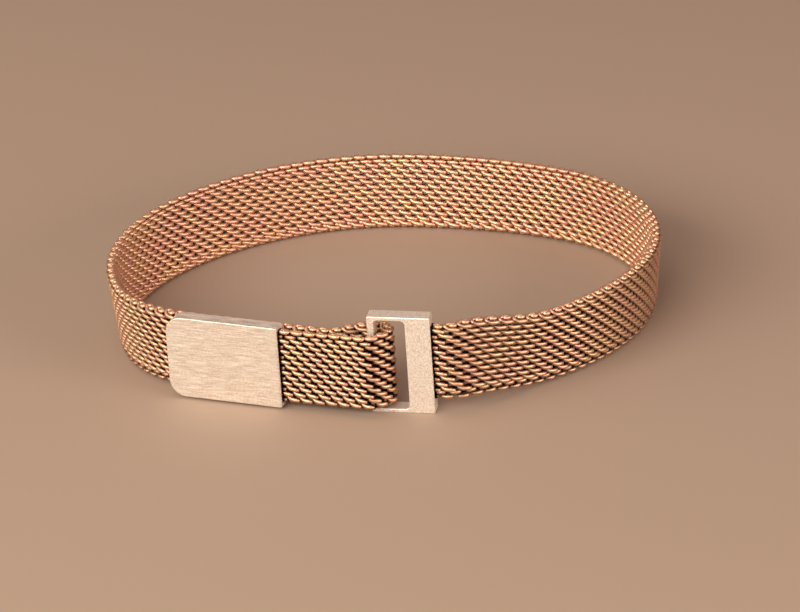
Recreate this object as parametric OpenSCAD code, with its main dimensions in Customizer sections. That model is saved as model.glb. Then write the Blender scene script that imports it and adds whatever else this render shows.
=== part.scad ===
// Mesh bracelet with a sliding magnetic clasp, fastened and standing on its edge.
// Millimetres, Z up. X runs along the long way of the loop, and the clasp faces -Y.
// The origin lies under the middle of the loop, on the level that the bracelet stands on.

/* [Strap] */
// Width of the woven strap
strap_w = 10; // [9:0.5:10.5]
// Thickness of the woven strap
strap_t = 1.35; // [1.2:0.05:1.45]
// Bevel that stands for the round ends of the strap's coils
strap_bevel = 0.3; // [0.1:0.05:0.5]

/* [Clasp frame] */
// Length of the frame along the strap
frame_l = 8; // [7.5:0.1:9]
// Height of the frame
frame_h = 13.2; // [12.8:0.1:14]
// Depth of the frame
frame_d = 2.1; // [2:0.05:2.4]
// Width of the thin bar that the strap folds round
bar_w = 0.85; // [0.7:0.05:1]
// Width of the broad bar that holds the strap's fixed end
grip_w = 3.2; // [3:0.1:3.5]
// Thickness of the frame's top and bottom rails
rail_h = 0.5; // [0.4:0.05:0.7]
// Radius of the window's corners
window_r = 0.6; // [0.3:0.1:0.9]
// Direction of the frame, seen from above
frame_yaw = -13; // [-14:0.5:-12]

/* [End plate] */
// Length of the magnetic plate
plate_l = 15.1; // [14:0.1:16]
// Height of the plate
plate_h = 11; // [10.8:0.1:11.6]
// Thickness of the plate
plate_t = 1.9; // [1.8:0.05:2.1]
// Radius of the plate's two free corners
plate_r = 2.2; // [1:0.1:3]
// Direction of the plate, seen from above
plate_yaw = -22.5; // [-23.5:0.5:-21.5]
// Gap between the plate's back and the strap layer that it sticks to
plate_gap = 0.1; // [0.05:0.05:0.3]

/* [Finish] */
// Chamfer on the edges of the plate and the frame
chamfer = 0.15; // [0.05:0.05:0.25]
// Clearance round an end of the strap in its pocket
fit = 0.05; // [0.04:0.01:0.1]

/* [Hidden] */
$fn = 64;

// Columns of the tables below: the strap's route is a chain of arcs, a row for each
LENGTH = 0;
TURN = 1; // to the left, in degrees
LEAN = 2; // outward lean of the strap at the row's end, in degrees
LIFT = 3; // height of the strap's lower edge at the row's end

// Depth of the pockets that take the strap's ends
frame_pocket = 1;
plate_pocket = 2;
// Height of the strap's lower edge where it leaves the frame
start_lift = 1.8;

// Round the wrist, from the frame's right side back to the plate
FRONT_RIGHT = [
    [2, 0, 0, 1.8],
    [3, 37, -4.5, 1.8],
    [12, 5, 7, 0.3],
    [16, 30, 6.5, 0.2]
];
RIGHT_SIDE = [0, 89.5, 4.5, 0.1]; // its length closes the loop
BACK_AND_LEFT = [
    [20.5, 19, 8, 0],
    [35, 57.5, 8.5, 0],
    [26, 60, 6, 0.1],
    [15, 52.5, 0, 0.65]
];
UNDER_PLATE = [0, 0, 0, 0.6]; // its length closes the loop

// Out from under the plate and behind the thin bar
WAVE_OUT = [1.8, 34, 0, 0.6];
WAVE_RUN = [0, 0, 0, 0.7]; // its length keeps the plate on the strap
WAVE_BACK = [3.3, -24.5, 0, 0.9];

// Round the thin bar, and back over the front
fold_r = 1.75;
fold_turn = 132;
bulge_r = 2;
bulge_turn = 57.5;
bar_gap = 0.25;
fold_shift = 0.12;
FOLD = [fold_r * fold_turn * PI / 180, -fold_turn, 0, 1];
FOLD_RUN = [1.1, 0, 0, 1];
BULGE = [bulge_r * bulge_turn * PI / 180, -bulge_turn, 0, 1];
OUTER_RUN = [10.9, 0, 0, 0.8];
IN_PLATE = [plate_pocket, 0, 0, 0.8];

// Where the middle of the frame's right face stands, before the loop is centred
frame_face = [3.7, -30.25];
pocket_end = frame_face - frame_pocket * unit(frame_yaw);

// Longest step and widest turn between two sections of the strap
step_l = 4;
step_turn = 4;

function unit(a) = [cos(a), sin(a)];
function left_of(a) = [-sin(a), cos(a)];

// Way from one end of a bend to the other, for a bend of length 1
function chord(a, turn) =
    abs(turn) < 0.01 ? unit(a)
    : 180 / (PI * turn) * [sin(a + turn) - sin(a), cos(a) - cos(a + turn)];

// Heading at the start of row i
function heading(rows, a, i) = i == 0 ? a : heading(rows, a, i - 1) + rows[i - 1][TURN];
// Point at the start of row i
function corner(rows, p, a, i) =
    i == 0 ? p
    : corner(rows, p, a, i - 1) + rows[i - 1][LENGTH] * chord(heading(rows, a, i - 1), rows[i - 1][TURN]);
function with_length(row, l) = [l, row[TURN], row[LEAN], row[LIFT]];

// The fold starts behind the thin bar and ends in the plate
fold_start = frame_face + (bar_w - frame_l - fold_shift) * unit(frame_yaw)
    + (frame_d / 2 + bar_gap + strap_t / 2) * left_of(frame_yaw);
OUTER = [FOLD, FOLD_RUN, BULGE, OUTER_RUN, IN_PLATE];
outer_end = corner(OUTER, fold_start, frame_yaw, len(OUTER));

// The strap layer behind the plate runs a set distance from the plate's middle
layer_gap = plate_t / 2 + plate_gap + strap_t / 2;
wave_yaw = plate_yaw + WAVE_OUT[TURN];
wave_bends = WAVE_OUT[LENGTH] * chord(plate_yaw, WAVE_OUT[TURN])
    + WAVE_BACK[LENGTH] * chord(wave_yaw, WAVE_BACK[TURN]);
wave_run_l = ((fold_start - wave_bends - outer_end) * left_of(plate_yaw) - layer_gap)
    / (unit(wave_yaw) * left_of(plate_yaw));
under_plate_end = fold_start - wave_bends - wave_run_l * unit(wave_yaw);

// Two lengths follow from the rest, so that the loop closes
OPEN_LOOP = concat(FRONT_RIGHT, [RIGHT_SIDE], BACK_AND_LEFT);
side_way = chord(heading(OPEN_LOOP, frame_yaw, len(FRONT_RIGHT)), RIGHT_SIDE[TURN]);
plate_way = unit(plate_yaw);
missing = under_plate_end - corner(OPEN_LOOP, pocket_end, frame_yaw, len(OPEN_LOOP));
side_l = cross(missing, plate_way) / cross(side_way, plate_way);
under_l = cross(side_way, missing) / cross(side_way, plate_way);

ROUTE = concat(
    FRONT_RIGHT,
    [with_length(RIGHT_SIDE, side_l)],
    BACK_AND_LEFT,
    [with_length(UNDER_PLATE, under_l), WAVE_OUT, with_length(WAVE_RUN, wave_run_l), WAVE_BACK],
    OUTER
);

// Half section of the strap: outward and upward from its middle
half_t = strap_t / 2;
half_w = strap_w / 2;
SECTION = [
    [half_t, half_w - strap_bevel], [half_t - strap_bevel, half_w],
    [strap_bevel - half_t, half_w], [-half_t, half_w - strap_bevel],
    [-half_t, strap_bevel - half_w], [strap_bevel - half_t, -half_w],
    [half_t - strap_bevel, -half_w], [half_t, strap_bevel - half_w]
];

// One section of the strap at point p, turned to heading a and leaning outward
function ring(p, a, lean, lift) =
    let (out = -left_of(a),
         drop = min([for (s = SECTION) s.y * cos(lean) - s.x * sin(lean)]))
    [for (s = SECTION)
        let (away = s.x * cos(lean) + s.y * sin(lean))
        [p.x + away * out.x, p.y + away * out.y,
         lift - drop + s.y * cos(lean) - s.x * sin(lean)]];

function steps(row) = max(1, ceil(row[LENGTH] / step_l), ceil(abs(row[TURN]) / step_turn));
// Eases from a to b as f goes from 0 to 1
function ease(a, b, f) = a + (b - a) * f * f * (3 - 2 * f);

// The sections of row i, without the one at its end
function row_rings(i) =
    let (row = ROUTE[i], n = steps(row), a = heading(ROUTE, frame_yaw, i),
         p = corner(ROUTE, pocket_end, frame_yaw, i),
         lean = i == 0 ? 0 : ROUTE[i - 1][LEAN], lift = i == 0 ? start_lift : ROUTE[i - 1][LIFT])
    [for (k = [0:n - 1])
        let (f = k / n)
        ring(p + f * row[LENGTH] * chord(a, f * row[TURN]), a + f * row[TURN],
             ease(lean, row[LEAN], f), ease(lift, row[LIFT], f))];

last = len(ROUTE) - 1;
rings = concat(
    [for (i = [0:last]) each row_rings(i)],
    [ring(outer_end, heading(ROUTE, frame_yaw, last), ROUTE[last][LEAN], ROUTE[last][LIFT])]
);

// Middle of the loop's box, which becomes the origin
xs = [for (r = rings) for (p = r) p.x];
ys = [for (r = rings) for (p = r) p.y];
middle = [(min(xs) + max(xs)) / 2, (min(ys) + max(ys)) / 2];

// Places its children at a point of the route's plan, turned to a heading
module stand(p, yaw, z = 0) {
    translate([p.x - middle.x, p.y - middle.y, z]) rotate(yaw) children();
}

// A rectangle with its corners cut off, centred on the origin
module cut_rectangle(size, cut) {
    x = size.x / 2;
    y = size.y / 2;
    polygon([
        [x, y - cut], [x - cut, y], [cut - x, y], [-x, y - cut],
        [-x, cut - y], [cut - x, -y], [x - cut, -y], [x, cut - y]
    ]);
}

// Woven strap: one closed band from the frame, round the wrist, round the bar and into the plate
module mesh_band() {
    n = len(SECTION);
    sides = [for (k = [0:len(rings) - 2]) for (j = [0:n - 1])
        let (a = k * n + j, b = k * n + (j + 1) % n)
        each [[a, b, b + n], [a, b + n, a + n]]];
    caps = [[for (j = [n - 1:-1:0]) j], [for (j = [0:n - 1]) (len(rings) - 1) * n + j]];
    color([0.80, 0.58, 0.44])
        translate([-middle.x, -middle.y, 0])
            polyhedron(points = [for (r = rings) each r], faces = concat(sides, caps));
}

// Outline of the plate, drawn in by an inset: square where the strap goes in, round at its free corners
module plate_outline(inset) {
    for (side = [-1, 1])
        translate([plate_r - plate_l, side * (plate_h / 2 - plate_r)]) circle(plate_r - inset, $fn = 48);
    translate([plate_r - plate_l, inset - plate_h / 2])
        square([plate_l - plate_r - inset, plate_h - 2 * inset]);
}

// Flat magnetic plate with a chamfer all round, and a pocket for the strap's free end
module end_plate() {
    plate_end = outer_end + plate_pocket * unit(plate_yaw);
    color([0.94, 0.79, 0.68])
        stand(plate_end, plate_yaw, OUTER_RUN[LIFT] + half_w)
            difference() {
                hull() rotate([90, 0, 0]) {
                    linear_extrude(plate_t - 2 * chamfer, center = true) plate_outline(0);
                    linear_extrude(plate_t, center = true) plate_outline(chamfer);
                }
                translate([-plate_pocket - fit, -half_t - fit, -half_w - fit])
                    cube([plate_pocket + 1, strap_t + 2 * fit, strap_w + 2 * fit]);
            }
}

// Loop that the strap slides through, with the strap's fixed end in its broad bar
module clasp_frame() {
    window_l = frame_l - bar_w - grip_w;
    window_h = frame_h - 2 * rail_h;
    color([0.94, 0.79, 0.68])
        stand(frame_face, frame_yaw)
            difference() {
                translate([-frame_l / 2, 0, frame_h / 2]) intersection() {
                    linear_extrude(frame_h, center = true) cut_rectangle([frame_l, frame_d], chamfer);
                    rotate([90, 0, 0])
                        linear_extrude(frame_d, center = true) cut_rectangle([frame_l, frame_h], chamfer);
                    rotate([90, 0, 90])
                        linear_extrude(frame_l, center = true) cut_rectangle([frame_d, frame_h], chamfer);
                }
                translate([-grip_w - window_l / 2, 0, frame_h / 2]) rotate([90, 0, 0])
                    linear_extrude(frame_d + 1, center = true) union() {
                        square([window_l, window_h - 2 * window_r], center = true);
                        square([window_l - 2 * window_r, window_h], center = true);
                        for (x = [-1, 1]) for (y = [-1, 1])
                            translate([x * (window_l / 2 - window_r), y * (window_h / 2 - window_r)])
                                circle(window_r);
                    }
                translate([-frame_pocket - fit, -half_t - fit, start_lift - fit])
                    cube([frame_pocket + 1, strap_t + 2 * fit, strap_w + 2 * fit]);
            }
}

mesh_band();
end_plate();
clasp_frame();
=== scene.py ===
"""Looks of the mesh bracelet: the woven strap's coils, the end plate and the clasp frame.

Lengths are in millimetres and angles in degrees, up to the moment an object is made. Points
and directions of the plan, seen from above, are complex numbers x + iy.
"""
import math

import bpy
import numpy as np
from mathutils import Matrix, Vector


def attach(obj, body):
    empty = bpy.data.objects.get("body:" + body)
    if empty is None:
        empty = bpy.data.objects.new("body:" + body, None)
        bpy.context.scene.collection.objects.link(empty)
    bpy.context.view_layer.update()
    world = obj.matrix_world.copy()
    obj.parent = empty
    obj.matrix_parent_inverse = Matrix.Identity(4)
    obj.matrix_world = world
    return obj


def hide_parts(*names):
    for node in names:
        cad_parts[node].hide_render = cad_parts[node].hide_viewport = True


MM = 0.001

# Strap: width, thickness and the bevel of its plain section
STRAP_W = 10.0
STRAP_T = 1.35
STRAP_BEVEL = 0.3

# Clasp frame: length along the strap, depth and height
FRAME_L = 8.0
FRAME_D = 2.1
FRAME_H = 13.2
# Widths of the thin bar that the strap folds round and of the broad bar that holds its fixed
# end, thickness of the rails between them, and radius of the window's corners
BAR_W = 0.85
GRIP_W = 3.2
RAIL_H = 0.5
WINDOW_R = 0.6
# Radii of the rounded edges and of the outer corners
FRAME_EDGE = 0.12
FRAME_R = 0.18
FRAME_YAW = -13.0
# Middle of the frame's right face, before the loop is centred
FRAME_FACE = complex(3.7, -30.25)

# End plate: length, height and thickness
PLATE_L = 15.1
PLATE_H = 11.0
PLATE_T = 1.9
# Radii of the free corners, of the corners over the strap and of the rounded edges
PLATE_R = 2.2
PLATE_END_R = 0.15
PLATE_EDGE = 0.08
# Width of the slope at the end over the strap
PLATE_SLOPE = 0.25
PLATE_YAW = -22.5
# Gap between the plate's back and the strap layer that it sticks to
PLATE_GAP = 0.1

# Depths of the pockets that take the strap's ends, the clearance in them, and how much wider
# they are at their mouths on each side
FRAME_POCKET = 1.0
PLATE_POCKET = 2.0
POCKET_FIT = 0.05
POCKET_DRAFT = 0.02

# Steps of a rounded edge and of a round corner
EDGE_STEPS = 4
CORNER_STEPS = 16

# The strap's route is a chain of arcs, a row for each. Its columns are the arc's length, its
# turn to the left, and the strap's outward lean and its lower edge's height at the arc's end
LENGTH, TURN, LEAN, LIFT = range(4)
# Height of the lower edge at the route's start, in the frame
START_LIFT = 1.8
# Round the wrist, from the frame's right side back to the plate. The lengths given as 0, here
# and in WAVE_RUN, are worked out
FRONT_RIGHT = [[2, 0, 0, 1.8], [3, 37, -4.5, 1.8], [12, 5, 7, 0.3], [16, 30, 6.5, 0.2]]
RIGHT_SIDE = [0, 89.5, 4.5, 0.1]
BACK_AND_LEFT = [[20.5, 19, 8, 0], [35, 57.5, 8.5, 0], [26, 60, 6, 0.1], [15, 52.5, 0, 0.65]]
UNDER_PLATE = [0, 0, 0, 0.6]
# Out from under the plate and behind the thin bar
WAVE_OUT = [1.8, 34, 0, 0.6]
WAVE_RUN = [0, 0, 0, 0.7]
WAVE_BACK = [3.3, -24.5, 0, 0.9]
# Round the thin bar, back over the front and into the plate
FOLD_R = 1.75
FOLD_TURN = 132
BULGE_R = 2.0
BULGE_TURN = 57.5
FOLD = [FOLD_R * math.radians(FOLD_TURN), -FOLD_TURN, 0, 1]
FOLD_RUN = [1.1, 0, 0, 1]
BULGE = [BULGE_R * math.radians(BULGE_TURN), -BULGE_TURN, 0, 1]
OUTER_RUN = [10.9, 0, 0, 0.8]
IN_PLATE = [PLATE_POCKET, 0, 0, 0.8]
OUTER = [FOLD, FOLD_RUN, BULGE, OUTER_RUN, IN_PLATE]
# Gap between the thin bar and the strap behind it, and how far short of the bar's inner edge
# the fold starts
BAR_GAP = 0.25
FOLD_SHIFT = 0.12
# A turn smaller than this counts as this much, so that nothing is divided by 0
LEAST_TURN = 1e-3
# Samples of the route that its middle is worked out from
ROUTE_SAMPLES = 1200

# Distance between neighbouring coils at some lengths of the route: pulled wider at the front
STEP_AT = [0, 12, 18, 105, 116, 128, 152, 165, 195, 206]
COIL_STEP = [0.925, 0.925, 0.83, 0.82, 0.855, 0.82, 0.77, 0.80, 0.80, 0.865]
# Distance of the first and the last coil from the strap's ends
END_MARGIN = 0.75
# Samples of the route that the coils' places are worked out from
PLACE_SAMPLES = 4000
# Way down from one turn of a coil to the next, and its turns between the two end rings
COIL_PITCH = 1.47
COIL_TURNS = 6
# The wire is rolled a little flat: its depth and its height
WIRE_D = 0.55
WIRE_H = 0.59
# Half the coil's length, as a share of the distance between coils, and half its thickness
COIL_REACH = 0.98
COIL_HALF_T = 0.395
# Exponent of the coil's plan, where 2 makes an ellipse, and how far the plan is turned
COIL_SQUARE = 2.5
COIL_TILT = -11.0
# Samples of the plan that its length is worked out from
PLAN_SAMPLES = 721
# How far the descent is gathered just past each bend, and where, in turns past it
SINK_SWING = 0.85
SINK_AT = 0.06
# Level part of the coil at each end, in turns, and how much it shrinks towards the tip
END_RING = 1.0
TIP_SHRINK = 0.9
# Further way along the strap's width, in turns, to an end ring that lies behind its neighbours
RING_REACH = 0.09
STEPS_PER_TURN = 16
WIRE_SIDES = 6
# How far a coil's pointed tip stands out past its last ring
TIP_POINT = WIRE_D / 4
# Meshes that the coils are shared out over
STRETCHES = 4

# How much lighter the painted shade in the strap's depth is when seen from inside the loop, up to
# its fold
INNER_GLOW = 0.8
# How far from its edges the painted shade fades so that the strap is lit, and how far from the
# plate and the frame a painted shadow darkens it
EDGE_LIGHT = 0.5
MOUTH_SHADE = 0.4
# Sine of the angle, past sideways, at which wire that turns away from a face is no longer spared
# the painted shade by that face
TURNED_AWAY = 0.5

# Camera: its distance from the point on the floor that it looks at, its angles and its optics
CAM_DISTANCE = 800.0
CAM_ELEVATION = 26.0
CAM_ROLL = 3.9
CAM_LENS = 279.0
CAM_SENSOR = 36.0
# The nearest and the farthest that it sees, in metres
CAM_CLIP = (0.01, 10.0)
# The point that it looks at, before the loop is centred
LOOK_AT = complex(0, 0)

# Stage: a floor, and a sky that goes from a low colour to a high one between two heights
FLOOR_SIDE = 2000.0
FLOOR_COLOUR = (0.31, 0.22, 0.156)
FLOOR_ROUGHNESS = 0.8
SKY_LOW = (0.14, 0.09, 0.085)
SKY_HIGH = (0.92, 0.66, 0.60)
SKY_HEIGHTS = (0.05, 0.8)
SKY_STRENGTH = 0.42
# Lamps: name, place, width and height, watts and colour. All of them face LAMP_TARGET
LAMPS = [
    ("window", (-320, -420, 320), (640, 300), 5.0, (1, 0.96, 0.92)),
    ("above", (-100, 0, 420), (260, 260), 0.4, (1, 0.85, 0.80)),
    ("right", (420, -330, 165), (300, 200), 2.3, (1, 0.90, 0.84)),
    ("left", (-430, -60, 190), (300, 200), 0.7, (1, 0.97, 0.74)),
]
LAMP_TARGET = (0, 0, 5)

# Colours of the metals, each in a golden and a pink cast, and the painted shade of wire deep in the
# weave
WIRE_GOLD = (0.72, 0.465, 0.275)
WIRE_PINK = (0.71, 0.405, 0.28)
WIRE_PAINTED_SHADE = (0.02, 0.008, 0.004)
PLATE_GOLD = (0.97, 0.91, 0.79)
PLATE_PINK = (0.97, 0.885, 0.77)
# What the metal colours are multiplied by in brushed lines and in specks
BRUSH_SHADE = (0.91, 0.87, 0.85)
SPECK_SHADE = (0.82, 0.75, 0.71)
WHITE = (1.0, 1.0, 1.0)
# Fineness of the patterns in the metals, per metre
WIRE_PATCHES = 260
WIRE_WEAR = 1500
DIE_LINES = 4500
BRUSH_LINES = 2800
PLATE_SPECKS = 3800
PLATE_CLOUDS = 160
BLAST_GRAIN = 6000
FRAME_CLOUDS = 240
# How many times as fine some of them are along, into and up the piece
DIE_STRETCH = (1, 1, 2.5)
BRUSH_STRETCH = (0.16, 1, 3.6)
CLOUD_STRETCH = (1, 1, 1.6)
# Least and most roughness of the metals, and the depth of their relief
WIRE_ROUGHNESS = (0.45, 0.58)
PLATE_ROUGHNESS = (0.50, 0.62)
FRAME_ROUGHNESS = (0.52, 0.66)
DIE_DEPTH = 0.02
BRUSH_DEPTH = 0.01
BLAST_DEPTH = 0.03


def unit(angle):
    """The direction at an angle."""
    return np.exp(1j * np.radians(angle))


def cross(a, b):
    """Cross product: how far b reaches to the left of a, times a's length."""
    return (np.conj(a) * b).imag


def chord(angle, turn):
    """Way from one end of a bend to the other, for a bend of length 1: the mean of the
    directions from angle to angle + turn."""
    turn = np.where(np.abs(turn) < LEAST_TURN, LEAST_TURN, turn)
    return (unit(angle + turn) - unit(angle)) / (1j * np.radians(turn))


def walk(rows, start, angle):
    """Start points and headings of the rows of a chain of bends, with the end's as the last."""
    points, headings = [start], [angle]
    for length, turn, _, _ in rows:
        points.append(points[-1] + length * chord(headings[-1], turn))
        headings.append(headings[-1] + turn)
    return np.array(points), np.array(headings)


def with_length(row, length):
    """A row of the route with another length."""
    return [length] + row[TURN:]


def solve_route():
    """The closed loop's rows, with their three missing lengths, and the point that it starts at.

    One length brings the strap from behind the plate, at the plate's gap, to where it starts to
    fold round the thin bar. The other two, of the right side and under the plate, close the loop:
    the way that is missing is split along the directions of these two."""
    fold_start = (FRAME_FACE + (BAR_W - FRAME_L - FOLD_SHIFT) * unit(FRAME_YAW)
                  + (FRAME_D / 2 + BAR_GAP + STRAP_T / 2) * 1j * unit(FRAME_YAW))
    outer_end = walk(OUTER, fold_start, FRAME_YAW)[0][-1]
    wave_yaw = PLATE_YAW + WAVE_OUT[TURN]
    bends = (WAVE_OUT[LENGTH] * chord(PLATE_YAW, WAVE_OUT[TURN])
             + WAVE_BACK[LENGTH] * chord(wave_yaw, WAVE_BACK[TURN]))
    layer_gap = PLATE_T / 2 + PLATE_GAP + STRAP_T / 2
    away = cross(unit(PLATE_YAW), fold_start - bends - outer_end) - layer_gap
    wave_run = away / cross(unit(PLATE_YAW), unit(wave_yaw))
    under_end = fold_start - bends - wave_run * unit(wave_yaw)
    pocket_end = FRAME_FACE - FRAME_POCKET * unit(FRAME_YAW)
    open_loop = FRONT_RIGHT + [RIGHT_SIDE] + BACK_AND_LEFT
    points, headings = walk(open_loop, pocket_end, FRAME_YAW)
    side_way = chord(headings[len(FRONT_RIGHT)], RIGHT_SIDE[TURN])
    missing = under_end - points[-1]
    side = cross(missing, unit(PLATE_YAW)) / cross(side_way, unit(PLATE_YAW))
    under = cross(side_way, missing) / cross(side_way, unit(PLATE_YAW))
    behind = [with_length(UNDER_PLATE, under), WAVE_OUT, with_length(WAVE_RUN, wave_run), WAVE_BACK]
    rows = FRONT_RIGHT + [with_length(RIGHT_SIDE, side)] + BACK_AND_LEFT + behind + OUTER
    return np.array(rows, float), pocket_end


ROUTE, POCKET_END = solve_route()
STARTS, HEADINGS = walk(ROUTE, POCKET_END, FRAME_YAW)
ROUTE_S = np.concatenate([[0], np.cumsum(ROUTE[:, LENGTH])])
# Lower corners of the strap's plain section: outward and upward from its middle
SECTION_X = np.array([STRAP_T / 2, STRAP_T / 2 - STRAP_BEVEL])
SECTION_X = np.concatenate([SECTION_X, -SECTION_X])
SECTION_Y = np.array([STRAP_BEVEL - STRAP_W / 2, -STRAP_W / 2] * 2)


def along(s):
    """Point, heading, lean and height of the strap's middle at route lengths s: each row is an
    arc, and lean and height ease from row to row as 3f^2 - 2f^3."""
    i = np.clip(np.searchsorted(ROUTE_S, s, side="right") - 1, 0, len(ROUTE) - 1)
    f = (s - ROUTE_S[i]) / ROUTE[i, LENGTH]
    turn = ROUTE[i, TURN]
    point = STARTS[i] + f * ROUTE[i, LENGTH] * chord(HEADINGS[i], f * turn)
    eased = f * f * (3 - 2 * f)
    lean_from = np.where(i == 0, 0, ROUTE[i - 1, LEAN])
    lift_from = np.where(i == 0, START_LIFT, ROUTE[i - 1, LIFT])
    lean = np.radians(lean_from + (ROUTE[i, LEAN] - lean_from) * eased)
    lift = lift_from + (ROUTE[i, LIFT] - lift_from) * eased
    drop = (SECTION_Y * np.cos(lean)[:, None] - SECTION_X * np.sin(lean)[:, None]).min(axis=1)
    return point, HEADINGS[i] + f * turn, lean, lift - drop


def loop_middle():
    """Middle, in plan, of the box round the strap's section corners, which is the part's origin."""
    point, heading, lean, _ = along(np.linspace(0, ROUTE_S[-1], ROUTE_SAMPLES))
    by_depth, by_width = SECTION_X[:, None] * np.cos(lean), SECTION_Y[:, None] * np.sin(lean)
    away = np.concatenate([by_depth + by_width, by_depth - by_width])
    corners = point - 1j * unit(heading) * away
    x, y = corners.real, corners.imag
    return complex(x.min() + x.max(), y.min() + y.max()) / 2


def make_mesh(name, points, faces, material):
    """A smooth mesh object from arrays of points in millimetres and of faces."""
    mesh = bpy.data.meshes.new(name)
    mesh.from_pydata((points * MM).tolist(), [], faces)
    mesh.validate()
    mesh.polygons.foreach_set("use_smooth", np.ones(len(mesh.polygons), bool))
    mesh.materials.append(material)
    mesh.update()
    piece = bpy.data.objects.new(name, mesh)
    bpy.context.scene.collection.objects.link(piece)
    return piece


def coil_path(reach, raised):
    """Centreline of one coil about its own axis: columns along the strap, outward and up.

    In plan it runs round a superellipse, at even steps of its length, and sinks by one pitch a
    turn: on each face it goes down to the right, as a left-handed screw does, and more steeply
    just past each bend. At each end a last ring stays level and closes the strap's edge: it
    shrinks evenly along its length, and so curls up as the letter e does. A raised coil, with
    raised 1 instead of 0, stands half a pitch higher, so that neighbours lie like bricks; the
    rings that end half a pitch short of an edge reach a little towards it."""
    fine = np.linspace(0, 2 * np.pi, PLAN_SAMPLES)
    c, s = np.cos(np.pi - fine), np.sin(np.pi - fine)
    x = reach * np.sign(c) * np.abs(c) ** (2 / COIL_SQUARE)
    y = COIL_HALF_T * np.sign(s) * np.abs(s) ** (2 / COIL_SQUARE)
    length = np.concatenate([[0], np.cumsum(np.hypot(np.diff(x), np.diff(y)))])
    length /= length[-1]
    count = round((COIL_TURNS + 2 * END_RING) * STEPS_PER_TURN) + 1
    turns = np.linspace(-END_RING, COIL_TURNS + END_RING, count)
    at = np.mod(turns, 1)
    curled = np.clip(np.abs(turns - COIL_TURNS / 2) - COIL_TURNS / 2, 0, END_RING) / END_RING
    size = 1 - TIP_SHRINK * curled
    px, py = size * np.interp(at, length, x), size * np.interp(at, length, y)
    tilt = math.radians(COIL_TILT)
    sunk = turns + SINK_SWING / (4 * np.pi) * np.sin(4 * np.pi * (turns - SINK_AT))
    low, high = -RING_REACH * raised, COIL_TURNS + RING_REACH * (1 - raised)
    turns_up = np.clip(COIL_TURNS - sunk, low, high) + raised / 2
    up = (WIRE_H - STRAP_W) / 2 + COIL_PITCH * turns_up
    return np.stack([px * math.cos(tilt) + py * math.sin(tilt),
                     py * math.cos(tilt) - px * math.sin(tilt), up], axis=1)


def coil_places():
    """Route lengths of the coils, and their distances there: the count of coils up to a length
    is the sum of 1 / distance."""
    fine = np.linspace(END_MARGIN, ROUTE_S[-1] - END_MARGIN, PLACE_SAMPLES)
    density = 1 / np.interp(fine, STEP_AT, COIL_STEP)
    count = np.concatenate([[0], np.cumsum((density[1:] + density[:-1]) / 2 * np.diff(fine))])
    places = np.interp(np.arange(0, count[-1]), count, fine)
    return places, np.interp(places, STEP_AT, COIL_STEP)


def tube(path, upward, sides):
    """Points of a flattened tube along paths (paths x steps x 3): at each step an oval ring stands
    across the path, WIRE_H high along the strap's width and WIRE_D deep."""
    tangent = np.gradient(path, axis=1)
    tangent /= np.linalg.norm(tangent, axis=2, keepdims=True)
    up = upward - tangent * (tangent * upward).sum(axis=2, keepdims=True)
    up /= np.linalg.norm(up, axis=2, keepdims=True)
    side = np.cross(tangent, up)
    angle = (np.arange(sides) + 0.5) * 2 * np.pi / sides
    ring = (WIRE_D / 2 * np.cos(angle)[:, None] * side[:, :, None]
            + WIRE_H / 2 * np.sin(angle)[:, None] * up[:, :, None])
    return path[:, :, None] + ring, tangent


def tube_faces(paths, steps, sides):
    """Faces of such tubes, in the order of their points, with a fan to a pole at each end."""
    j = np.arange(sides)
    k = np.arange(steps - 1)[:, None]
    a = k * sides + j
    b = k * sides + (j + 1) % sides
    walls = np.stack([a, a + sides, b + sides, b], axis=-1).reshape(-1, 4)
    last = (steps - 1) * sides
    poles = steps * sides
    first_fan = np.stack([j, (j + 1) % sides, np.full(sides, poles)], axis=1)
    last_fan = np.stack([last + (j + 1) % sides, last + j, np.full(sides, poles + 1)], axis=1)
    shift = np.arange(paths)[:, None, None] * (poles + 2)
    fans = (first_fan + shift).reshape(-1, 3).tolist() + (last_fan + shift).reshape(-1, 3).tolist()
    return (walls + shift).reshape(-1, 4).tolist() + fans


def place_coils(s, step, raised, middle):
    """Centrelines of the coils at route lengths s, in the part's frame, and the strap's middle
    and its forward, outward and upward directions there."""
    local = np.stack([coil_path(COIL_REACH * gap, lift) for gap, lift in zip(step, raised)])
    point, heading, lean, height = along(s)
    point = point - middle
    way = unit(heading)
    out = -1j * way
    zeros = np.zeros(len(s))
    forward = np.stack([way.real, way.imag, zeros], axis=1)
    outward = np.stack([out.real * np.cos(lean), out.imag * np.cos(lean), -np.sin(lean)], axis=1)
    upward = np.stack([out.real * np.sin(lean), out.imag * np.sin(lean), np.cos(lean)], axis=1)
    centre = np.stack([point.real, point.imag, height], axis=1)[:, None]
    forward, outward, upward = forward[:, None], outward[:, None], upward[:, None]
    path = (centre + local[:, :, :1] * forward + local[:, :, 1:2] * outward
            + local[:, :, 2:] * upward)
    return path, centre, forward, outward, upward


def nearness(points, facing, glow, centre, outward, upward):
    """0 deep inside the strap and 1 at its faces and edges, for each point of each coil: the
    largest of the share of the way to the outer face, that to the inner face, which starts at the
    glow, and that of the last half millimetre to an edge. The share to a face counts less where the
    wire turns away from that face, and not at all from 30 degrees on. This is the mask of the
    painted shade: 0 gets the full painted shade, 1 none."""
    to_outer = ((points - centre) * outward).sum(axis=2) / (STRAP_T / 2)
    from_middle = np.abs(((points - centre) * upward).sum(axis=2))
    to_edge = 1 + (from_middle - STRAP_W / 2) / EDGE_LIGHT
    seen_outside = np.clip(1 + facing / TURNED_AWAY, 0, 1) * to_outer
    seen_inside = np.clip(1 - facing / TURNED_AWAY, 0, 1) * (glow - to_outer)
    return np.clip(np.maximum(np.maximum(seen_outside, seen_inside), to_edge), 0, 1).ravel()


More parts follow.
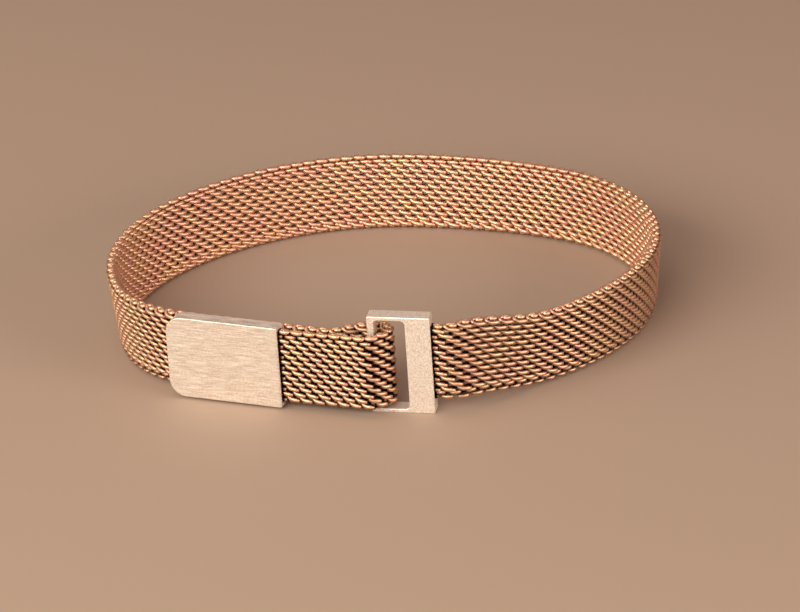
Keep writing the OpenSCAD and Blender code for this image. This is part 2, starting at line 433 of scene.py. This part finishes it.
def weave(name, s, step, raised, middle, material):
    """One stretch of the strap: its coils as closed tubes in one mesh, with their nearness to the
    strap's faces and edges as an attribute, which fades to 0 at the frame and the plate. The
    attribute sets the painted shade deep in the weave and a painted shadow where the strap goes
    into the frame and the plate."""
    path, centre, forward, outward, upward = place_coils(s, step, raised, middle)
    rings, tangent = tube(path, upward, WIRE_SIDES)
    count, steps = path.shape[:2]
    poles = np.stack([path[:, 0] - tangent[:, 0] * TIP_POINT,
                      path[:, -1] + tangent[:, -1] * TIP_POINT], axis=1)
    points = np.concatenate([rings.reshape(count, -1, 3), poles], axis=1)
    faces = tube_faces(count, steps, WIRE_SIDES)
    piece = make_mesh(name, points.reshape(-1, 3), faces, material)
    way = rings - path[:, :, None]
    facing = (way * outward[:, :, None]).sum(axis=3) / np.linalg.norm(way, axis=3)
    facing = np.concatenate([facing.reshape(count, -1), np.zeros((count, 2))], axis=1)
    # Painted light: the inner face of the loop gets less painted shade, up to the fold
    glow = np.where(s < ROUTE_S[-1 - len(OUTER)], INNER_GLOW, 0)[:, None]
    near = nearness(points, facing, glow, centre, outward, upward)
    # Painted shadow: the wire darkens towards where the strap goes into the frame and the plate
    length = s[:, None] + ((points - centre) * forward).sum(axis=2)
    clear = np.minimum(length - FRAME_POCKET, ROUTE_S[-1] - PLATE_POCKET - length)
    near *= np.clip(clear.ravel() / MOUTH_SHADE, 0, 1)
    # The share of full colour against painted shade, which the wire's material reads
    piece.data.attributes.new("painted_light_share", "FLOAT", "POINT").data.foreach_set("value", near)
    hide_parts("mesh_band")
    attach(piece, "root")
    return piece


def outline(box, radii, inset, stops):
    """Loop round a rectangle with rounded corners, drawn in by an inset, and its outward normals.

    The box is left, right, low and high, and the radii are those of the right corners and of
    the left ones. The loop starts at the lower right corner and runs up the right side, which
    has points at the heights in stops."""
    left, right, low, high = box
    a, b = radii
    bends = []
    for x, z, radius, start in ((right - a, low + a, a, -90), (right - a, high - a, a, 0),
                                (left + b, high - b, b, 90), (left + b, low + b, b, 180)):
        way = unit(start + np.linspace(0, 90, CORNER_STEPS + 1))
        bends.append((complex(x, z) + (radius - inset) * way, way))
    side = (right - inset + 1j * np.array(stops), np.ones(len(stops), complex))
    bends.insert(1, side)
    return np.concatenate([p for p, _ in bends]), np.concatenate([w for _, w in bends])


def wall_levels(radius, depth, stops):
    """Insets, depths and slopes from the back edge of a wall to its front edge: quarter rounds
    at both, and flat with points at the depths in stops between them."""
    turn = np.radians(np.linspace(-90, 0, EDGE_STEPS + 1))
    inset, rise = radius * (1 - np.cos(turn)), radius * np.sin(turn) + radius - depth / 2
    flat = np.zeros(len(stops))
    return (np.concatenate([inset, flat, inset[::-1]]), np.concatenate([rise, stops, -rise[::-1]]),
            np.concatenate([turn, flat, -turn[::-1]]))


def lay_walls(box, radii, levels, stops):
    """Points and normals of a wall along an outline: a row for each level, with columns along,
    outward and up."""
    rows, normals = [], []
    for inset, depth, slope in zip(*levels):
        loop, way = outline(box, radii, inset, stops)
        rows.append(np.stack([loop.real, np.full(len(loop), depth), loop.imag], axis=1))
        normals.append(np.stack([way.real * math.cos(slope), np.full(len(loop), math.sin(slope)),
                                 way.imag * math.cos(slope)], axis=1))
    return np.array(rows), np.array(normals)


def ring_faces(rows, columns, closed):
    """Four-sided faces between rows of points that each close on themselves. If closed, the last
    row also meets the first."""
    k = np.arange(rows if closed else rows - 1)[:, None]
    j = np.arange(columns)
    here, there = k * columns, (k + 1) % rows * columns
    next_j = (j + 1) % columns
    corners = [here + j, here + next_j, there + next_j, there + j]
    return np.stack(corners, axis=-1).reshape(-1, 4).tolist()


def stand(name, points, normals, faces, foot, yaw, middle, material, node):
    """A hard piece stood at a point and in a direction of the plan, with its own normals."""
    turned = [(columns[:, 0] - 1j * columns[:, 1]) * unit(yaw) for columns in (points, normals)]
    plan = turned[0] + foot - middle
    piece = make_mesh(name, np.stack([plan.real, plan.imag, points[:, 2]], axis=1), faces, material)
    normals = np.stack([turned[1].real, turned[1].imag, normals[:, 2]], axis=1)
    piece.data.normals_split_custom_set_from_vertices(normals.tolist())
    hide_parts(node)
    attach(piece, "root")
    return piece


def pocket_levels():
    """Depths of the walls of a pocket that takes the strap's end, twice at each wall."""
    half = STRAP_T / 2 + POCKET_FIT
    return np.array([-half - POCKET_DRAFT, -half, half, half + POCKET_DRAFT])


def pocket_stops(low):
    """Heights of the ends of such a pocket, twice at each end."""
    low, high = low - POCKET_FIT, low + STRAP_W + POCKET_FIT
    return np.array([low - POCKET_DRAFT, low, high, high + POCKET_DRAFT])


def sink_pocket(rows, depth):
    """Moves the pocket's floor, the inner two levels and stops, inward along the strap."""
    level, stop = EDGE_STEPS + 2, CORNER_STEPS + 2
    rows[level:level + 2, stop:stop + 2, 0] -= depth + POCKET_FIT


def clasp_frame(middle, material):
    """The frame: its wall round the outside and the one round the window, as one closed ring.

    The window's wall goes on from the front edge to the back one, and its normals point into
    the window."""
    stops = pocket_stops(START_LIFT)
    outer, outer_normals = lay_walls((-FRAME_L, 0, 0, FRAME_H), (FRAME_R, FRAME_R),
                                     wall_levels(FRAME_EDGE, FRAME_D, pocket_levels()), stops)
    sink_pocket(outer, FRAME_POCKET)
    inset, depth, slope = wall_levels(FRAME_EDGE, FRAME_D, [])
    window = (BAR_W - FRAME_L, -GRIP_W, RAIL_H, FRAME_H - RAIL_H)
    inner, inner_normals = lay_walls(window, (WINDOW_R, WINDOW_R), (-inset, depth, slope), stops)
    inner, inner_normals = inner[::-1], inner_normals[::-1] * [-1, 1, -1]
    points = np.concatenate([outer, inner])
    normals = np.concatenate([outer_normals, inner_normals])
    faces = ring_faces(*points.shape[:2], True)
    return stand("frame_ring", points.reshape(-1, 3), normals.reshape(-1, 3), faces, FRAME_FACE,
                 FRAME_YAW, middle, material, "clasp_frame")


def end_plate(middle, material):
    """The plate: a wall round its outline, its front edge sloped at the end over the strap, and
    a flat face fanned from its middle on either side."""
    low = ROUTE[-1, LIFT]
    foot = low + (STRAP_W - PLATE_H) / 2
    levels = wall_levels(PLATE_EDGE, PLATE_T, pocket_levels())
    rows, normals = lay_walls((-PLATE_L, 0, foot, foot + PLATE_H), (PLATE_END_R, PLATE_R), levels,
                              pocket_stops(low))
    sink_pocket(rows, PLATE_POCKET)
    sloped = (levels[1] > 0)[:, None] & (rows[:, :, 0] > -PLATE_END_R - PLATE_EDGE)
    rows[:, :, 0] -= sloped * PLATE_SLOPE * (levels[0] / PLATE_EDGE)[:, None]
    count, columns = rows.shape[:2]
    hubs = [[-PLATE_L / 2, side * PLATE_T / 2, foot + PLATE_H / 2] for side in (-1, 1)]
    points = np.concatenate([rows.reshape(-1, 3), hubs])
    normals = np.concatenate([normals.reshape(-1, 3), [[0, -1, 0], [0, 1, 0]]])
    j = np.arange(columns)
    next_j = (j + 1) % columns
    last, hub = (count - 1) * columns, count * columns
    back = np.stack([next_j, j, np.full(columns, hub)], axis=1)
    front = np.stack([last + j, last + next_j, np.full(columns, hub + 1)], axis=1)
    faces = ring_faces(count, columns, False) + back.tolist() + front.tolist()
    mouth = STARTS[-1] + PLATE_POCKET * unit(PLATE_YAW)
    return stand("plate_body", points, normals, faces, mouth, PLATE_YAW, middle, material,
                 "end_plate")


def new_material(name):
    """A metal material: itself, its nodes, a function that links two of them, and its shader."""
    material = bpy.data.materials.new(name)
    material.use_nodes = True
    nodes = material.node_tree.nodes
    shader = nodes["Principled BSDF"]
    shader.inputs["Metallic"].default_value = 1
    return material, nodes, material.node_tree.links.new, shader


def noise(nodes, link, scale, stretch=(1, 1, 1), detail=3.0, turn=0.0):
    """Noise in object space, its grain so many times as fine along each axis of a frame turned
    round the upright axis. Scales are per metre."""
    place = nodes.new("ShaderNodeTexCoord")
    spin = nodes.new("ShaderNodeVectorRotate")
    spin.rotation_type = "Z_AXIS"
    spin.inputs["Angle"].default_value = math.radians(-turn)
    pull = nodes.new("ShaderNodeVectorMath")
    pull.operation = "MULTIPLY"
    pull.inputs[1].default_value = stretch
    grain = nodes.new("ShaderNodeTexNoise")
    grain.inputs["Scale"].default_value = scale
    grain.inputs["Detail"].default_value = detail
    link(place.outputs["Object"], spin.inputs["Vector"])
    link(spin.outputs["Vector"], pull.inputs[0])
    link(pull.outputs["Vector"], grain.inputs["Vector"])
    return grain.outputs["Fac"]


def blend(nodes, link, factor, low, high, start, end):
    """A colour that goes from low to high while the factor goes from start to end."""
    ramp = nodes.new("ShaderNodeValToRGB")
    first, last = ramp.color_ramp.elements
    first.position, last.position = start, end
    first.color, last.color = (*low, 1), (*high, 1)
    link(factor, ramp.inputs["Fac"])
    return ramp.outputs["Color"]


def blend_greys(nodes, link, factor, levels, start, end):
    """The same for two levels of grey."""
    low, high = levels
    return blend(nodes, link, factor, (low, low, low), (high, high, high), start, end)


def multiply(nodes, link, a, b):
    """One colour times another, in full. Of the node's sockets, 0 takes the share of the result,
    6 and 7 take the colours, and 2 gives the result."""
    both = nodes.new("ShaderNodeMix")
    both.data_type = "RGBA"
    both.blend_type = "MULTIPLY"
    both.inputs[0].default_value = 1
    link(a, both.inputs[6])
    link(b, both.inputs[7])
    return both.outputs[2]


def bump(nodes, link, height, depth, strength, shader):
    """Gives the shader a relief of a depth."""
    relief = nodes.new("ShaderNodeBump")
    relief.inputs["Distance"].default_value = depth * MM
    relief.inputs["Strength"].default_value = strength
    link(height, relief.inputs["Height"])
    link(relief.outputs["Normal"], shader.inputs["Normal"])


def rose_wire():
    """Drawn wire plated in rose gold: golden and pink patches, with painted shade where it lies
    deep in the weave, and faint die lines."""
    material, nodes, link, shader = new_material("rose_wire")
    patches = noise(nodes, link, WIRE_PATCHES, detail=2)
    tint = blend(nodes, link, patches, WIRE_GOLD, WIRE_PINK, start=0.35, end=0.65)
    # Painted shade: the attribute darkens the wire to a near black deep in the weave and at the
    # frame and the plate, and leaves it its full colour at the strap's faces and edges
    face = nodes.new("ShaderNodeAttribute")
    face.attribute_name = "painted_light_share"
    shade = blend(nodes, link, face.outputs["Fac"], WIRE_PAINTED_SHADE, WHITE, start=0.38, end=0.88)
    link(multiply(nodes, link, tint, shade), shader.inputs["Base Color"])
    wear = noise(nodes, link, WIRE_WEAR, detail=2)
    roughness = blend_greys(nodes, link, wear, WIRE_ROUGHNESS, start=0.3, end=0.7)
    link(roughness, shader.inputs["Roughness"])
    die_lines = noise(nodes, link, DIE_LINES, DIE_STRETCH)
    bump(nodes, link, die_lines, DIE_DEPTH, strength=0.35, shader=shader)
    return material


def brushed_plate():
    """Rose-gold plate brushed along its length: fine level lines and specks over soft clouds."""
    material, nodes, link, shader = new_material("brushed_plate")
    lines = noise(nodes, link, BRUSH_LINES, BRUSH_STRETCH, detail=2, turn=PLATE_YAW)
    clouds = noise(nodes, link, PLATE_CLOUDS, CLOUD_STRETCH, turn=PLATE_YAW)
    tint = blend(nodes, link, clouds, PLATE_GOLD, PLATE_PINK, start=0.3, end=0.7)
    specks = noise(nodes, link, PLATE_SPECKS, detail=2)
    streaks = blend(nodes, link, lines, BRUSH_SHADE, WHITE, start=0.37, end=0.63)
    grain = blend(nodes, link, specks, BRUSH_SHADE, WHITE, start=0.38, end=0.6)
    worn = multiply(nodes, link, streaks, grain)
    link(multiply(nodes, link, tint, worn), shader.inputs["Base Color"])
    roughness = blend_greys(nodes, link, lines, PLATE_ROUGHNESS, start=0.4, end=0.6)
    link(roughness, shader.inputs["Roughness"])
    bump(nodes, link, lines, BRUSH_DEPTH, strength=0.4, shader=shader)
    return material


def blasted_frame():
    """Rose-gold frame with a fine blasted grain."""
    material, nodes, link, shader = new_material("blasted_frame")
    grain = noise(nodes, link, BLAST_GRAIN, detail=2)
    clouds = noise(nodes, link, FRAME_CLOUDS)
    tint = blend(nodes, link, clouds, PLATE_GOLD, PLATE_PINK, start=0.3, end=0.7)
    specks = blend(nodes, link, grain, SPECK_SHADE, WHITE, start=0.36, end=0.58)
    link(multiply(nodes, link, tint, specks), shader.inputs["Base Color"])
    roughness = blend_greys(nodes, link, grain, FRAME_ROUGHNESS, start=0.3, end=0.7)
    link(roughness, shader.inputs["Roughness"])
    bump(nodes, link, grain, BLAST_DEPTH, strength=0.35, shader=shader)
    return material


def make_camera(middle):
    """The photo's view: from the front, 26 degrees above the floor, rolled a little."""
    e, r = math.radians(CAM_ELEVATION), math.radians(CAM_ROLL)
    right, up = Vector((1, 0, 0)), Vector((0, math.sin(e), math.cos(e)))
    back = Vector((0, -math.cos(e), math.sin(e)))
    target = Vector(((LOOK_AT - middle).real, (LOOK_AT - middle).imag, 0))
    x = math.cos(r) * right - math.sin(r) * up
    y = math.sin(r) * right + math.cos(r) * up
    camera = bpy.data.objects.new("camera", bpy.data.cameras.new("camera"))
    camera.matrix_world = Matrix.Translation((target + CAM_DISTANCE * back) * MM) @ (
        Matrix((x, y, back)).transposed().to_4x4())
    camera.data.lens = CAM_LENS
    camera.data.sensor_width = CAM_SENSOR
    camera.data.clip_start, camera.data.clip_end = CAM_CLIP
    bpy.context.scene.collection.objects.link(camera)
    bpy.context.scene.camera = camera


def area_light(name, place, size, power, colour):
    """A rectangular lamp that faces the lamps' target."""
    light = bpy.data.lights.new(name, "AREA")
    light.shape = "RECTANGLE"
    light.size, light.size_y = size[0] * MM, size[1] * MM
    light.energy = power
    light.color = colour
    lamp = bpy.data.objects.new(name, light)
    lamp.location = Vector(place) * MM
    way = Vector(LAMP_TARGET) - Vector(place)
    lamp.rotation_euler = way.to_track_quat("-Z", "Y").to_euler()
    bpy.context.scene.collection.objects.link(lamp)


def make_floor():
    """A plain pale floor."""
    bpy.ops.mesh.primitive_plane_add(size=FLOOR_SIDE * MM)
    floor = bpy.context.object
    floor.name = "floor"
    pale = bpy.data.materials.new("pale_floor")
    pale.use_nodes = True
    shader = pale.node_tree.nodes["Principled BSDF"]
    shader.inputs["Base Color"].default_value = (*FLOOR_COLOUR, 1)
    shader.inputs["Roughness"].default_value = FLOOR_ROUGHNESS
    floor.data.materials.append(pale)


def make_sky():
    """A dim sky that is brightest overhead."""
    world = bpy.data.worlds.new("studio")
    bpy.context.scene.world = world
    world.use_nodes = True
    nodes, link = world.node_tree.nodes, world.node_tree.links.new
    ray = nodes.new("ShaderNodeTexCoord")
    split = nodes.new("ShaderNodeSeparateXYZ")
    link(ray.outputs["Generated"], split.inputs[0])
    colour = blend(nodes, link, split.outputs["Z"], SKY_LOW, SKY_HIGH, *SKY_HEIGHTS)
    link(colour, nodes["Background"].inputs["Color"])
    nodes["Background"].inputs["Strength"].default_value = SKY_STRENGTH


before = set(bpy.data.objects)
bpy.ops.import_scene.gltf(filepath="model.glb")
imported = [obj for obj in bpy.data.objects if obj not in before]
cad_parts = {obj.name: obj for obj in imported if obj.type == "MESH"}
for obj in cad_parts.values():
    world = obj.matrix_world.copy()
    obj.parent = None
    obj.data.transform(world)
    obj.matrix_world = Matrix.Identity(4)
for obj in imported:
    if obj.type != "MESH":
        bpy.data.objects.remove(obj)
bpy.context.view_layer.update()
middle = loop_middle()
make_camera(middle)
make_floor()
make_sky()
for lamp in LAMPS:
    area_light(*lamp)

wire = rose_wire()
coils, steps = coil_places()
raised = np.arange(len(coils)) % 2
for k, part in enumerate(np.array_split(np.arange(len(coils)), STRETCHES)):
    weave(f"weave_{k + 1}", coils[part], steps[part], raised[part], middle, wire)
end_plate(middle, brushed_plate())
clasp_frame(middle, blasted_frame())

bpy.context.scene.view_settings.view_transform = "Standard"
